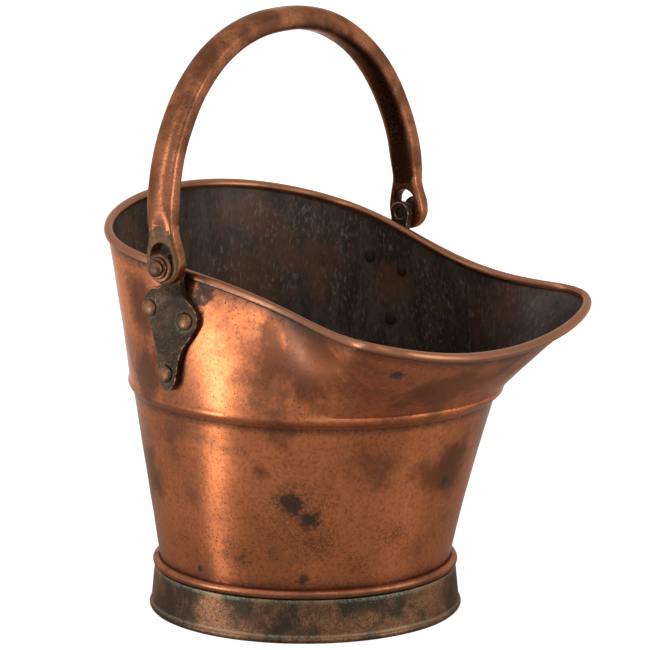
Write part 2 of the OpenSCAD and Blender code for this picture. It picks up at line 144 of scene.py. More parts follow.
def layered(tree, value, *layers):
    """Changes a value to others in turn, each where its mask is."""
    for mask, other in layers:
        value = add(tree, "ShaderNodeMix", {0: mask, 2: value, 3: other}, data_type="FLOAT")
    return value


def grain_of(tree, place, scale, detail, roughness):
    return add(tree, "ShaderNodeTexNoise", {"Vector": place, "Scale": scale, "Detail": detail,
        "Roughness": roughness})


def new_group(name, vectors, **values):
    """An empty shader group that gives one mask, with the sockets of its two end nodes."""
    group = bpy.data.node_groups.new(name, "ShaderNodeTree")
    for label in vectors:
        group.interface.new_socket(label, in_out="INPUT", socket_type="NodeSocketVector")
    for label, start in values.items():
        socket = group.interface.new_socket(label, in_out="INPUT", socket_type="NodeSocketFloat")
        socket.default_value = start
    group.interface.new_socket("Mask", in_out="OUTPUT", socket_type="NodeSocketFloat")
    ends = group.nodes.new("NodeGroupInput").outputs, group.nodes.new("NodeGroupOutput").inputs
    return group, *ends


def use(tree, group, **feeds):
    """Places a group in a material and returns its first output."""
    return add(tree, "ShaderNodeGroup", feeds, node_tree=group)


print("node helpers ready; white is", tone(255, 255, 255))

# %% [markdown]
# Tarnish spreads in soft clouds with ragged borders. One noise bends the place at which
# a second one is read, and a soft step cuts it to patches. Several finishes use this,
# so it is a group, with its size and its threshold as inputs.

# %% Effect: clouds of tarnish
cloud_group, cin, cout = new_group("tarnish_clouds", ["Place"], Scale=20, Detail=5, Low=0.45,
    High=0.6)
warp = add(cloud_group, "ShaderNodeTexNoise",
    {"Vector": cin["Place"], "Scale": times(cloud_group, cin["Scale"], 0.6), "Detail": 3},
    out=1)
moved = add(cloud_group, "ShaderNodeVectorMath",
    {0: cin["Place"], 1: add(cloud_group, "ShaderNodeVectorMath",
        {0: warp, "Scale": 0.03}, operation="SCALE")}, operation="ADD")
cloud = grain_of(cloud_group, moved, cin["Scale"], cin["Detail"], 0.6)
cloud_group.links.new(between(cloud_group, cloud, cin["Low"], cin["High"]), cout["Mask"])
print("group", cloud_group.name)

# %% [markdown]
# Old copper is pricked all over with small pits. A Voronoi texture gives every cell a
# random number: where that is under the wanted share the cell gets a round pit, so their
# share and their size are set apart from each other.

# %% Effect: pits
pit_group, cin, cout = new_group("pits", ["Place"], Scale=600, Share=0.3, Size=0.3)
cells = pit_group.nodes.new("ShaderNodeTexVoronoi")
feed(pit_group, cells, {"Vector": cin["Place"], "Scale": cin["Scale"]})
lot = add(pit_group, "ShaderNodeSeparateColor", {0: cells.outputs["Color"]})
chosen = calc(pit_group, "LESS_THAN", lot, cin["Share"])
round_pit = between(pit_group, cells.outputs["Distance"], times(pit_group, cin["Size"], 0.35),
    cin["Size"], 1.0, 0.0)
pit_group.links.new(times(pit_group, chosen, round_pit), cout["Mask"])
print("group", pit_group.name)

# %% [markdown]
# Handling rubs the tarnish off every raised edge. The mesh carries an "edge" value, which
# a later cell measures from its shape: over zero on ridges and under zero in creases.
# The group breaks that line up with noise, so that it looks rubbed and not drawn. The bright line
# is partly rubbed metal and partly a painted highlight along the ridges.

# %% Effect: rubbed edges, partly painted highlight
rub_and_sheen_group, cin, cout = new_group("rubbed_and_sheen_edges", ["Place"], Edge=0, Low=0.15, High=0.5)
grain = grain_of(rub_and_sheen_group, cin["Place"], 260, 4, 0.5)
uneven = times(rub_and_sheen_group, cin["Edge"], between(rub_and_sheen_group, grain, 0.3, 0.65, 0.45, 1.3))
rub_and_sheen_group.links.new(between(rub_and_sheen_group, uneven, cin["Low"], cin["High"]), cout["Mask"])
print("group", rub_and_sheen_group.name)

# %% [markdown]
# A few stains sit at known places on the body, where water or acid ate the surface. Each is
# a ball round its middle, with its border torn by noise.

# %% Effect: one stain
stain_group, cin, cout = new_group("stain", ["Place", "Middle"], Radius=0.01, Ragged=0.6,
    Grain=190)
away = add(stain_group, "ShaderNodeVectorMath", {0: cin["Place"], 1: cin["Middle"]}, out=1,
    operation="DISTANCE")
tear = grain_of(stain_group, cin["Place"], cin["Grain"], 5, 0.65)
torn = times(stain_group, calc(stain_group, "SUBTRACT", tear, 0.5), cin["Ragged"])
share = calc(stain_group, "ADD", calc(stain_group, "DIVIDE", away, cin["Radius"]),
    times(stain_group, torn, 4))
stain_group.links.new(between(stain_group, share, 0.3, 1.15, 1.0, 0.0), cout["Mask"])
print("group", stain_group.name)

# %% Helpers for materials
finishes = {}


def new_material(name):
    """A material with an empty Principled shader, and the place of each point on the object."""
    material = finishes[name] = bpy.data.materials.new(name)
    material.use_nodes = True
    tree = material.node_tree
    place = tree.nodes.new("ShaderNodeTexCoord").outputs["Object"]
    return tree, tree.nodes["Principled BSDF"], place


def attribute(tree, name):
    """A value that the mesh carries at each of its points."""
    return add(tree, "ShaderNodeAttribute", {}, out=2, attribute_name=name)


def clouds_of(tree, place, scale, detail, low, high):
    return use(tree, cloud_group, Place=place, Scale=scale, Detail=detail, Low=low, High=high)


def pits_of(tree, place, scale, share, size):
    return use(tree, pit_group, Place=place, Scale=scale, Share=share, Size=size)


def drawn_out(tree, place, squeeze, turn=(0, 0, 0)):
    """The place with its Z squeezed, so that what is read there is drawn out along Z."""
    return add(tree, "ShaderNodeMapping", {"Vector": place, "Rotation": turn,
        "Scale": (1, 1, squeeze)})


# Metal seen at a flat angle mirrors in this colour
EDGE_TINT = tone(238, 210, 194)


def finish_with(tree, shader, color, metallic, roughness, height, depth, more):
    """Feeds the shader, with a height pattern as a bump of the given depth in metres."""
    bump = add(tree, "ShaderNodeBump", {"Height": height, "Distance": depth, "Strength": 1.0})
    feed(tree, shader, {"Base Color": color, "Metallic": metallic, "Roughness": roughness,
        "Normal": bump} | more)


print("material helpers ready")

# %% [markdown]
# The body's copper has been polished many times, long ago. Its finish is laid on in turn:
# bright copper, brown clouds, dark patches that are partly tarnish where the polish has gone
# and partly a painted dark reflection, a fine mottle, pits, specks, the browner roll of the rim,
# stains, and painted shade in the creases by the bead, the rib and the rim. The same sheet is
# black with coal inside, so the mesh's soot value, 0 outside and 1 inside, mixes a second set
# of colours over the first.

# %% Body finish
# Middle of each mark on the body, and its radius, in millimetres
STAINS = [(70.6, -100.6, 108.5, 13), (80.8, -90, 95.3, 10), (130.9, 5.2, 115.4, 6),
    (-8.7, -110.5, 47.2, 4), (70.6, -85.9, 47.3, 6), (166.8, -95.3, 217.4, 8),
    (5.4, -119.3, 260.2, 9), (-0.3, -122.4, 254.1, 10)]
# Dark patches: partly tarnish and partly a painted dark reflection on the sides and the upper wall
PATCHES = [(85, -112, 235, 36), (109.3, -112.5, 223.1, 46), (68.8, -114.9, 225.1, 36),
    (169, -43.1, 197.6, 45), (202.4, 19.7, 225.1, 50), (51.9, -110.2, 133.6, 8),
    (133.9, 1.4, 124.2, 34), (-69.2, -98, 110.8, 34), (-48, -118, 245, 30), (-50, -118, 195, 28)]
SPECKLED = [(76, -95, 100, 23), (84, -85, 78, 15), (118, -35, 78, 12), (105, -60, 56, 10),
    (30, -113, 62, 10)]
RUSTY = [(-117.1, 78.6, 273.3, 34), (-14.6, 124.6, 224.3, 22), (-80, 100, 240, 30)]


def marks(tree, place, places, grain, ragged=0.6):
    """One mask for a list of marks. Grain is how fine their torn borders are."""
    mask = 0.0
    for *middle, radius in places:
        one = use(tree, stain_group, Place=place, Middle=[c * MM for c in middle],
            Radius=radius * MM, Grain=grain, Ragged=ragged)
        mask = calc(tree, "MAXIMUM", one, mask)
    return mask


def coal_black(tree, place):
    """Colours of the sooty inside: streaks down the wall, rusty patches and pale flecks of ash."""
    streaks = clouds_of(tree, drawn_out(tree, place, 0.2), 55, 7, 0.42, 0.66)
    rust = clouds_of(tree, place, 19, 9, 0.5, 0.7)
    rust = calc(tree, "MAXIMUM", rust, marks(tree, place, RUSTY, 60, 0.8))
    flecks = grain_of(tree, drawn_out(tree, place, 0.4), 430, 7, 0.7)
    fields = clouds_of(tree, place, 30, 5, 0.4, 0.65)
    ash = times(tree, between(tree, flecks, 0.52, 0.64), between(tree, fields, 0, 1, 0.3, 1.0))
    return cover(tree, tone(54, 45, 39), (streaks, 1, (80, 66, 55)),
        (between(tree, flecks, 0.36, 0.48, 1.0, 0.0), 0.5, (28, 24, 22)),
        (rust, 0.6, (104, 66, 42)), (ash, 0.85, (126, 112, 96)))


tree, shader, place = new_material("body_copper")
wide = clouds_of(tree, place, 11, 4, 0.38, 0.62)
brown = clouds_of(tree, place, 24, 8, 0.5, 0.7)
warm = clouds_of(tree, place, 40, 6, 0.48, 0.7)
mottle = grain_of(tree, place, 360, 6, 0.7)
# Patches of tarnish, partly a painted dark reflection
patches = marks(tree, place, PATCHES, 36, 0.55)
fine = times(tree, pits_of(tree, place, 500, 0.42, 0.32), 0.8)
pits = calc(tree, "MAXIMUM", pits_of(tree, place, 270, 0.28, 0.22), fine)
pits = times(tree, pits, between(tree, wide, 0, 1, 0.5, 1.0))
speckles = marks(tree, place, SPECKLED, 620, 1.5)
stains = marks(tree, place, STAINS, 190)
roll, soot_and_gap_shade = attribute(tree, "roll"), attribute(tree, "soot_and_gap_shade")
# Painted shade in the creases of the outer face, by the bead, under the rib and under the rim,
# broken up by the mottle
painted_shade = times(tree, attribute(tree, "painted_shade"), between(tree, mottle, 0.2, 0.6, 0.5, 1.0))
color = cover(tree, tone(188, 110, 68), (wide, 1, (166, 95, 57)), (warm, 0.5, (190, 112, 64)),
    (brown, 0.75, (104, 62, 42)), (patches, 0.9, (92, 50, 28)),
    (between(tree, mottle, 0.42, 0.72), 0.6, (98, 56, 34)), (pits, 0.9, (44, 28, 20)),
    (speckles, 0.45, (58, 38, 27)), (roll, 0.85, (132, 86, 60)), (stains, 0.9, (50, 43, 34)),
    (painted_shade, 0.85, (50, 34, 26)))
color = blend(tree, soot_and_gap_shade, color, coal_black(tree, place))
rough = layered(tree, 0.34, (brown, 0.44), (patches, 0.5),
    (calc(tree, "MAXIMUM", pits, stains), 0.65), (roll, 0.3), (soot_and_gap_shade, 0.72))
metal = layered(tree, 1.0, (brown, 0.85),
    (calc(tree, "MAXIMUM", stains, times(tree, painted_shade, 0.6)), 0.6), (soot_and_gap_shade, 0.2))
height = calc(tree, "SUBTRACT", times(tree, mottle, 0.35), times(tree, pits, 0.5))
finish_with(tree, shader, color, metal, rough, height, 0.00015, {"Anisotropic": 0.85,
    "Anisotropic Rotation": 0.25, "Coat Weight": layered(tree, 0.24, (roll, 0.4)),
    "Coat Roughness": 0.32, "Specular IOR Level": 0.25, "Specular Tint": EDGE_TINT})
print("nodes of body_copper:", len(finishes["body_copper"].node_tree.nodes))

# %% [markdown]
# The other copper pieces share the body's build of colours but not its marks: the bead round
# the foot is rubbed bright, and the handle is satin brown with bright lines on its edges, partly
# rubbed metal and partly painted highlight. Creases get painted shade, and so does the inner
# side of the bow, which has a "dull" value for it. The flat faces of the eyes
# have an "olive" value, for the crust that is left there.

# %% Plain copper finishes
def copper_finish(name, bright, dull, dark, share, rough, pit_share=0.25):
    """Bright copper with dull clouds over a share of it, dark pits, and painted shade in creases.
    """
    tree, shader, place = new_material(name)
    clouds = clouds_of(tree, place, 34, 6, 0.42, 0.64)
    mottle = grain_of(tree, place, 420, 6, 0.7)
    pits = pits_of(tree, place, 560, pit_share, 0.32)
    edge = attribute(tree, "edge")
    # Painted shade: creases, where the edge value is under zero, take the dark tone
    crease_shade = between(tree, edge, -0.5, -0.08, 1.0, 0.0)
    # Rubbed edges: partly bare metal and partly a painted highlight along the ridges
    rub_and_sheen = use(tree, rub_and_sheen_group, Place=place, Edge=edge, Low=0.1, High=0.45)
    # Painted shade on the inner side of the bow, which the mesh marks with its dull value
    inner_side_shade = times(tree, attribute(tree, "dull"), between(tree, clouds, 0, 1, 0.55, 0.9))
    olive = times(tree, attribute(tree, "olive"), between(tree, mottle, 0.25, 0.6, 0.6, 1.0))
    color = cover(tree, tone(*bright), (clouds, share, dull),
        (between(tree, mottle, 0.4, 0.72), 0.5, dull), (pits, 0.85, dark), (crease_shade, 1, dark),
        (rub_and_sheen, 0.75, bright), (inner_side_shade, 1, (74, 44, 30)), (olive, 0.9, (76, 63, 44)))
    worn_out = calc(tree, "MAXIMUM", pits, olive)
    roughness = layered(tree, rough, (clouds, rough + 0.12), (worn_out, 0.55))
    metal = layered(tree, 0.95, (calc(tree, "MAXIMUM", worn_out, crease_shade), 0.45))
    height = calc(tree, "SUBTRACT", times(tree, mottle, 0.4), times(tree, pits, 0.5))
    finish_with(tree, shader, color, metal, roughness, height, 0.00018,
        {"Specular IOR Level": 0.25, "Specular Tint": EDGE_TINT})


HANDLE_TONES = (152, 96, 66), (88, 55, 39), (34, 24, 19)
copper_finish("bead_copper", (146, 92, 65), (104, 66, 48), (48, 34, 28), 0.8, 0.34)
copper_finish("pan_copper", (70, 54, 44), (50, 42, 36), (32, 28, 25), 1.0, 0.6)
copper_finish("handle_copper", *HANDLE_TONES, 0.85, 0.26, 0.55)
copper_finish("eye_brass", *HANDLE_TONES, 0.85, 0.26, 0.55)
print("finishes so far:", list(finishes))

# %% [markdown]
# Cast pieces keep a brown-grey crust with pale specks, and green verdigris gathers in their
# corners. Only their edges are rubbed down to metal, a bright line that is partly painted
# highlight.

# %% Crusted finishes
def crust_finish(name, light, dark, bare, green_share, rough, clouds_low=0.42, metallic=0.45,
        size=48):
    """A crust in two tones with specks and scratches, rubbed down to bare metal on the edges."""
    tree, shader, place = new_material(name)
    clouds = clouds_of(tree, place, size, 8, clouds_low, clouds_low + 0.2)
    fine = grain_of(tree, place, 520, 8, 0.75)
    specks = pits_of(tree, place, 620, 0.3, 0.4)
    green = times(tree, attribute(tree, "green"), between(tree, fine, 0.4, 0.62))
    scratches = grain_of(tree, drawn_out(tree, place, 0.22, (0.3, 0.6, 0.2)), 700, 4, 0.6)
    scratches = times(tree, between(tree, scratches, 0.6, 0.7),
        between(tree, clouds, 0, 1, 0.2, 0.9))
    # Rubbed edges: partly bare metal and partly a painted highlight along the ridges
    rub_and_sheen = use(tree, rub_and_sheen_group, Place=place, Edge=attribute(tree, "edge"), Low=0.16, High=0.6)
    # Soot on the inner ends of the rivets, and painted shade in the gap between button and collar
    # on the pins
    soot_and_gap_shade = attribute(tree, "soot_and_gap_shade")
    color = cover(tree, tone(*dark), (clouds, 1, light),
        (between(tree, fine, 0.4, 0.62), 0.75, dark), (specks, 0.3, (132, 122, 102)),
        (green, green_share, (140, 152, 126)), (scratches, 0.5, (146, 132, 116)),
        (rub_and_sheen, 1, bare), (soot_and_gap_shade, 1, (48, 40, 34)))
    metal = layered(tree, metallic, (rub_and_sheen, 0.95), (soot_and_gap_shade, 0.1))
    roughness = layered(tree, rough, (rub_and_sheen, 0.34), (soot_and_gap_shade, 0.75))
    height = calc(tree, "ADD", times(tree, fine, 0.9), times(tree, specks, 0.3))
    finish_with(tree, shader, color, metal, roughness, height, 0.0003,
        {"Specular IOR Level": 0.2, "Specular Tint": EDGE_TINT})


crust_finish("foot_patina", (140, 98, 72), (58, 48, 38), (150, 100, 74), 0.9, 0.42, 0.45, 0.75, 26)
crust_finish("bracket_bronze", (78, 60, 43), (40, 31, 23), (170, 122, 96), 0.8, 0.42)
crust_finish("rivet_brass", (128, 88, 64), (72, 52, 38), (158, 110, 82), 0.3, 0.34, 0.36, 0.8)
print("finishes so far:", list(finishes))

# %% [markdown]
# The two wires hide in their rolls, so they keep the model's own meshes and only get
# a finish of rusty iron.

# %% Wire finish
tree, shader, place = new_material("wire_iron")
rust = clouds_of(tree, place, 120, 6, 0.4, 0.65)
color = cover(tree, tone(62, 58, 56), (rust, 1, (92, 58, 42)))
finish_with(tree, shader, color, 0.5, layered(tree, 0.5, (rust, 0.85)), rust, 0.0002, {})
for name in ("rim_wire", "foot_wire"):
    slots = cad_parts[name].data.materials
    slots.clear()
    slots.append(finishes["wire_iron"])
print("wires finished")

# %% [markdown]
# Every new piece ends the same way: it is shaded smooth apart from its sharp corners and set to
# ride on its body of the model, and all but the body are first measured for ridges and creases.
# Many come in pairs: they are built on the left, and mirrored for the right.

# %% Helpers for pieces
SIDES = ("right", -1), ("left", 1)


def clamp(x):
    return max(0, min(1, x))


def rising(z, low, high):
    """0 under low and 1 over high, with a soft start and end."""
    s = clamp((z - low) / (high - low))
    return s * s * (3 - 2 * s)


def signed_power(x, power):
    return (1 if x >= 0 else -1) * abs(x) ** power


def store(bm, name, value_of):
    """Stores a value for each point, which the finish of the piece reads by its name."""
    layer = bm.verts.layers.float.new(name)
    for v in bm.verts:
        v[layer] = value_of(v)


def measure_edges(bm, blur=2):
    """Stores how far each point stands out from its neighbours, as curvature per millimetre."""
    layer = bm.verts.layers.float.new("edge")
    bm.normal_update()
    found = {}
    for v in bm.verts:
        near = [e.other_vert(v).co for e in v.link_edges]
        middle = sum(near, Vector()) / len(near)
        span = sum((n - v.co).length_squared for n in near) / len(near)
        found[v] = max(-1, min(1, 2 * MM * (v.co - middle).dot(v.normal) / max(span, 1e-12)))
    for _ in range(blur):
        found = {v: (found[v] + sum(found[e.other_vert(v)] for e in v.link_edges)
            / len(v.link_edges)) / 2 for v in bm.verts}
    for v in bm.verts:
        v[layer] = found[v]


def make_piece(name, bm, slot, body, *nodes, sharp=50):
    """One finished piece of the scuttle, which stands for the named nodes."""
    piece = put_mesh(name, bm)
    mesh = piece.data
    mesh.materials.append(finishes[slot])
    mesh.shade_smooth()
    mesh.set_sharp_from_angle(angle=radians(sharp))
    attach(piece, body)
    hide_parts(*nodes)
    print(name, "faces", len(mesh.polygons))


def wobble(point, size, seed):
    """A smooth random number from -1 to 1 for a place, which changes over about size metres."""
    return noise.noise(point / size + Vector((seed, seed * 0.37, -seed)))


def closed_line(bm, points):
    """Joins points, in millimetres, to a closed line, and returns its points and edges."""
    verts = [bm.verts.new(Vector(p) * MM) for p in points]
    return verts, [bm.edges.new(pair) for pair in zip(verts, verts[1:] + verts[:1])]


def spun(profile, steps):
    """Turns a closed profile of (radius, height) pairs, in millimetres, once round the Z axis."""
    bm = bmesh.new()
    verts, edges = closed_line(bm, [(r, 0, z) for r, z in profile])
    bmesh.ops.spin(bm, geom=verts + edges, cent=(0, 0, 0), axis=(0, 0, 1), angle=2 * pi,
        steps=steps, use_merge=True)
    bmesh.ops.remove_doubles(bm, verts=bm.verts, dist=1e-6)
    bmesh.ops.recalc_face_normals(bm, faces=bm.faces)
    return bm


print("piece helpers ready")

# %% [markdown]
# The body is a sheet that starts round at the foot and ends in a rim that rises at the back
# and dips at the lip. No lathe makes that shape, but a drum is a good start: its section
# is spun once round, with one row of points for each row of the sheet, and then every point
# moves to its place. The formulas below give the rim's line and the wall under it.

# %% The line of the rim and the wall under it
HUB = 20  # x of the upright line that the wall's bearings are counted round
SHEET = 1.2
ROLL = 3.0
ROLL_START, ROLL_SWEEP = radians(190), radians(315)
FOOT_R = 109.2
SKIRT_LOW, SKIRT_TOP = 21.1, 39.6
RIB_LOW, RIB_HIGH = 167.2, 177.2
RIB_OUT = 2.25
WAIST_X, WAIST_A, WAIST_B = 8.2, 140.15, 127.9  # middle and half axes of the waist


def rim(t):
    """Middle of the rolled rim at angle t, in millimetres. Zero is the lip and pi the back."""
    x = 48 + 167 * cos(t) - 15.5 * cos(2 * t)
    y = 142 * sin(t) + 32 * sin(3 * t)
    z = (260.7 - 34.5 * cos(t) + 4.5 * cos(2 * t) - 3 * cos(3 * t) - 1.5 * cos(4 * t)
        - 2.5 * cos(5 * t))
    return x, y, z


def reach(bearing, middle, a, b):
    """How far an upright ellipse lies from the hub, on a bearing."""
    d = HUB - middle
    p = (cos(bearing) / a) ** 2 + (sin(bearing) / b) ** 2
    q = 2 * d * cos(bearing) / a ** 2
    return (-q + sqrt(q * q - 4 * p * ((d / a) ** 2 - 1))) / (2 * p)


def wall(t):
    """Bearing, foot, waist and rim of the sheet in one upright plane."""
    x, y, z = rim(t)
    bearing = atan2(y, x - HUB)
    lip = ((1 + cos(bearing)) / 2) ** 2
    return {"bearing": bearing, "lip": lip, "foot": reach(bearing, 0, FOOT_R, FOOT_R),
        "waist": reach(bearing, WAIST_X, WAIST_A, WAIST_B), "step": 2.7 + 4.6 * lip,
        "rim": hypot(x - HUB, y), "rim_z": z}


def on_roll(w, turn):
    """A point of the rolled rim, as (reach, height), at an angle from the wall's own slope."""
    slope = atan2(w["rim_z"] - RIB_HIGH, 1.05 * (w["rim"] - w["waist"] - w["step"]))
    return w["rim"] + ROLL * cos(slope + turn), w["rim_z"] + ROLL * sin(slope + turn)


def sheet_point(w, kind, s):
    """Middle of the sheet, as (reach, height), a share s of the way along one of its zones."""
    if kind == "skirt":
        return w["foot"], SKIRT_LOW + (SKIRT_TOP - SKIRT_LOW) * s
    if kind == "lower":
        line = w["foot"] + (w["waist"] - w["foot"]) * s
        return line - 1.9 * w["lip"] * sin(pi * s), SKIRT_TOP + (RIB_LOW - SKIRT_TOP) * s
    if kind == "rib":
        out = RIB_OUT * sin(pi * s) ** 1.3 + w["step"] * (1 - cos(pi * s)) / 2
        return w["waist"] + out, RIB_LOW + (RIB_HIGH - RIB_LOW) * s
    if kind == "upper":
        low, (top, top_z) = w["waist"] + w["step"], on_roll(w, ROLL_START)
        return low + (top - low) * s ** 1.05, RIB_HIGH + (top_z - RIB_HIGH) * s
    return on_roll(w, ROLL_START - ROLL_SWEEP * s)


# Zones of the sheet from the foot up, each with its count of rows
ZONES = [("skirt", 2), ("lower", 22), ("rib", 14), ("upper", 24), ("curl", 28)]
ROWS = [(kind, i / count) for kind, count in ZONES for i in range(count)] + [("curl", 1)]
print("rows of the sheet", len(ROWS), "rim at the lip", [round(v, 1) for v in rim(0)])

# %% [markdown]
# Years of shovels leave a sheet like this with shallow dents. They are real shape and
# not only bump: both faces of the sheet shift together by up to half a millimetre. Near the
# foot, the rim and the brackets, which hold the sheet stiff, they fade out.

# %% Shape the body
COLUMNS = 200
PLATE_MIDDLE = Vector((-0.0206, 0.125, 0.222))
LOWER_TALL = 128
SHADE_LOW, SHADE_HIGH, SHADE_RIM = 7, 4, 9  # how far painted shade reaches from bead, rib and rim
SHADE_RIB = 0.12  # and over what share of the rib, on each side of it


def dent(x, y, z):
    """How far the sheet is pushed out here, in millimetres."""
    p = Vector((x, y, z)) * MM
    beside = Vector((p.x, abs(p.y), p.z))
    calm = clamp((z - 42) / 30) * min(1, (beside - PLATE_MIDDLE).length / 0.07) ** 2
    return calm * (0.55 * wobble(p, 0.07, 3.1) + 0.22 * wobble(p, 0.026, 8.4))


def painted_shade_on(kind, s, w):
    """How much painted shade the outer face gets, a share s of the way along a zone."""
    if kind == "lower":
        return max(0, 1 - s * LOWER_TALL / SHADE_LOW, 1 - (1 - s) * LOWER_TALL / SHADE_HIGH)
    if kind == "rib":
        return max(0, 1 - s / SHADE_RIB, 0.6 - (1 - s) / SHADE_RIB)
    if kind == "upper":
        return max(0, 1 - (1 - s) * (w["rim_z"] - RIB_HIGH) / SHADE_RIM)
    return 1 if kind == "curl" and (s < 0.1 or s > 0.9) else 0


def body_section(t):
    """Both faces of the sheet in one upright plane, with the values that the finish reads."""
    w = wall(t)
    line = [sheet_point(w, kind, s) for kind, s in ROWS]
    b = w["bearing"]
    rows = []
    for i, (r, z) in enumerate(line):
        r0, z0 = line[max(i - 1, 0)]
        r1, z1 = line[min(i + 1, len(line) - 1)]
        length = hypot(r1 - r0, z1 - z0)
        half_out, half_up = (SHEET / 2 * c / length for c in (z1 - z0, r0 - r1))
        push = dent(HUB + r * cos(b), r * sin(b), z) * (0.3 if ROWS[i][0] == "curl" else 1)
        rows.append((*ROWS[i], r + push, z, half_out, half_up))
    outer = [(r + half_out, z + half_up, 0, painted_shade_on(kind, s, w), 0)
        for kind, s, r, z, half_out, half_up in rows]
    inner = [(r - half_out, z - half_up, clamp(1 - s / 0.22) if kind == "curl" else 1,
        kind == "curl" and s > 0.9, kind == "curl" and s > 0.1)
        for kind, s, r, z, half_out, half_up in reversed(rows)]
    return b, outer + inner


sections = [body_section(2 * pi * i / COLUMNS) for i in range(COLUMNS)]
bm = spun([(1000, 1000 * j) for j in range(2 * len(ROWS))], COLUMNS)
layers = [bm.verts.layers.float.new(name) for name in ("soot_and_gap_shade", "painted_shade", "roll")]
for v in bm.verts:
    column = round(atan2(v.co.y, v.co.x) / (2 * pi) * COLUMNS) % COLUMNS
    bearing, faces = sections[column]
    r, z, *values = faces[round(v.co.z)]
    for layer, value in zip(layers, values):
        v[layer] = value
    v.co = Vector((HUB + r * cos(bearing), r * sin(bearing), z)) * MM
bmesh.ops.recalc_face_normals(bm, faces=bm.faces)
make_piece("body", bm, "body_copper", "scuttle", "body_shell")

# %% [markdown]
# The foot is turned work: a skirting band rolled round a wire at the floor, a half-round
# bead above it, and a pan pushed up inside for a bottom. Each is one closed profile, spun.

# %% Foot
BAND_TOP, BAND_JOINT, BAND_ROLL = 32.4, 31.4, 5.3
GREEN_WIDTH = 1.0
PAN_TOP, PAN_UNDER, PAN_EDGE = 31.1, 30, 105.8


def arc(x, z, r, start, end, count):
    """Points on an arc round (x, z), from one angle to another in degrees."""
    turns = [radians(start + (end - start) * i / count) for i in range(count + 1)]
    return [(x + r * cos(turn), z + r * sin(turn)) for turn in turns]


def foot_piece(name, node, slot, profile, depth, size, seed):
    """A spun piece of the foot, pushed in and out by up to depth, on the floor or over it."""
    bm = spun(profile, 192)
    for v in bm.verts:
        out = Vector((v.co.x, v.co.y, 0))
        v.co += out.normalized() * depth * MM * wobble(v.co, size, seed)
        v.co.z = max(v.co.z, 0)
    store(bm, "green", lambda v: max(0, 1 - min(abs(v.co.z / MM - BAND_JOINT),
        abs(v.co.z / MM - BAND_ROLL)) / GREEN_WIDTH))
    measure_edges(bm, 1)
    make_piece(name, bm, slot, "scuttle", node)


band_profile = ([(r, BAND_TOP) for r in (110.1, 111, 112)]
    + arc(113.1, 31.6, 0.8, 90, 5, 5)
    + [(113.9 + 2.4 * i / 9, 31.6 - 24.6 * i / 9) for i in range(1, 10)]
    + arc(115.3, 2.5, 2.7, 62, -240, 26)
    + [(115.1 - 2.2 * i / 6, 6.5 + 24 * i / 6) for i in range(7)] + [(110.1, 31.3)])
bead_profile = arc(111.5, 36.1, 3.6, -112, 112, 22)
pan_profile = ([(0.5, PAN_UNDER), (0.5, PAN_TOP)] + [(r, PAN_TOP) for r in range(8, 104, 8)]
    + arc(PAN_EDGE, 28.6, 2.5, 90, 0, 6) + [(108.3, SKIRT_LOW), (107.2, SKIRT_LOW)]
    + arc(PAN_EDGE, 28.6, 1.4, 0, 90, 4) + [(r, PAN_UNDER) for r in range(96, 0, -8)])
foot_piece("foot_band_skirting", "foot_band", "foot_patina", band_profile, 0.3, 0.035, 5.2)
foot_piece("foot_bead_round", "foot_bead", "bead_copper", bead_profile, 0.22, 0.05, 2.6)
foot_piece("bottom_pan", "base_pan", "pan_copper", pan_profile, 0.0, 0.05, 1.0)

# %% [markdown]
# A bracket starts as a flat casting: its outline, with a hole for the pin, is filled and
# thickened. A voxel remesh then turns it into an even skin and smoothing rounds its edges,
# as years of polish do. Only then is it bent: the plate follows the wall and the neck
# steps out to the knuckle.

# %% Bracket: its place on the body
PIVOT_X, PIVOT_Z = -13.5, 280.173
PLATE_X, PLATE_Z = -20.6, 197.2
KNUCKLE_IN, KNUCKLE_OUT = 127.98, 134.18
RIVET_PLACES = {"lower": (0, 0), "back": (-18.47, 46.98), "front": (14.07, 40.42)}


def plate_place(x, z):
    """A place on the plate, measured from the lower rivet, as x and z on the body."""
    return PLATE_X + x, PLATE_Z + z


def wall_y(x, z):
    """Outer face of the wall above the waist, beside the point (x, z)."""
    low, high = radians(60), radians(140)
    for _ in range(30):
        middle = (low + high) / 2
        t_low, t_high = 0.0, pi
        for _ in range(24):
            t = (t_low + t_high) / 2
            t_low, t_high = (t, t_high) if wall(t)["bearing"] < middle else (t_low, t)
        w = wall(t_low)
        top = on_roll(w, ROLL_START)[1]
        r = sheet_point(w, "upper", clamp((z - RIB_HIGH) / (top - RIB_HIGH)))[0]
        low, high = (middle, high) if HUB + r * cos(middle) > x else (low, middle)
    return r * sin(middle) + SHEET / 2


print("wall beside the lower rivet", round(wall_y(*plate_place(0, 0)), 2))

# %% Bracket: cast, remesh and bend
KNUCKLE_R = 9.2
PIN_R = 4.0
CAST_DEPTH = 5.0
VOXEL = 0.62
SHOULDER_TILT = 3.77
PLATE_INNER, PLATE_OUTER = 0.3, 5.1  # how far the plate's faces stand out from the wall
NECK_RISE = 18.2
GROOVE_DEPTH = 0.085
GREEN_REACH = 0.0095
# Half widths of the plate at heights over the lower rivet
PLATE_EDGE = [(6.5, -9.2), (9.6, -2), (10.8, 10), (14, 20), (19.3, 31.3), (23.2, 38.5), (25.2, 44),
    (24.2, 50.5), (20.8, 55), (16, 59)]


def eased(points, n):
    """A smooth line through points, with n steps between two of them."""
    line = []
    for i in range(1, len(points) - 2):
        a, b, c, d = (Vector(q) for q in points[i - 1:i + 3])
        line += [b + s * (c - a) / 2 + s * s * (2 * a - 5 * b + 4 * c - d) / 2
            + s ** 3 * (3 * b - a - 3 * c + d) / 2 for s in (k / n for k in range(n))]
    return [tuple(q) for q in line]


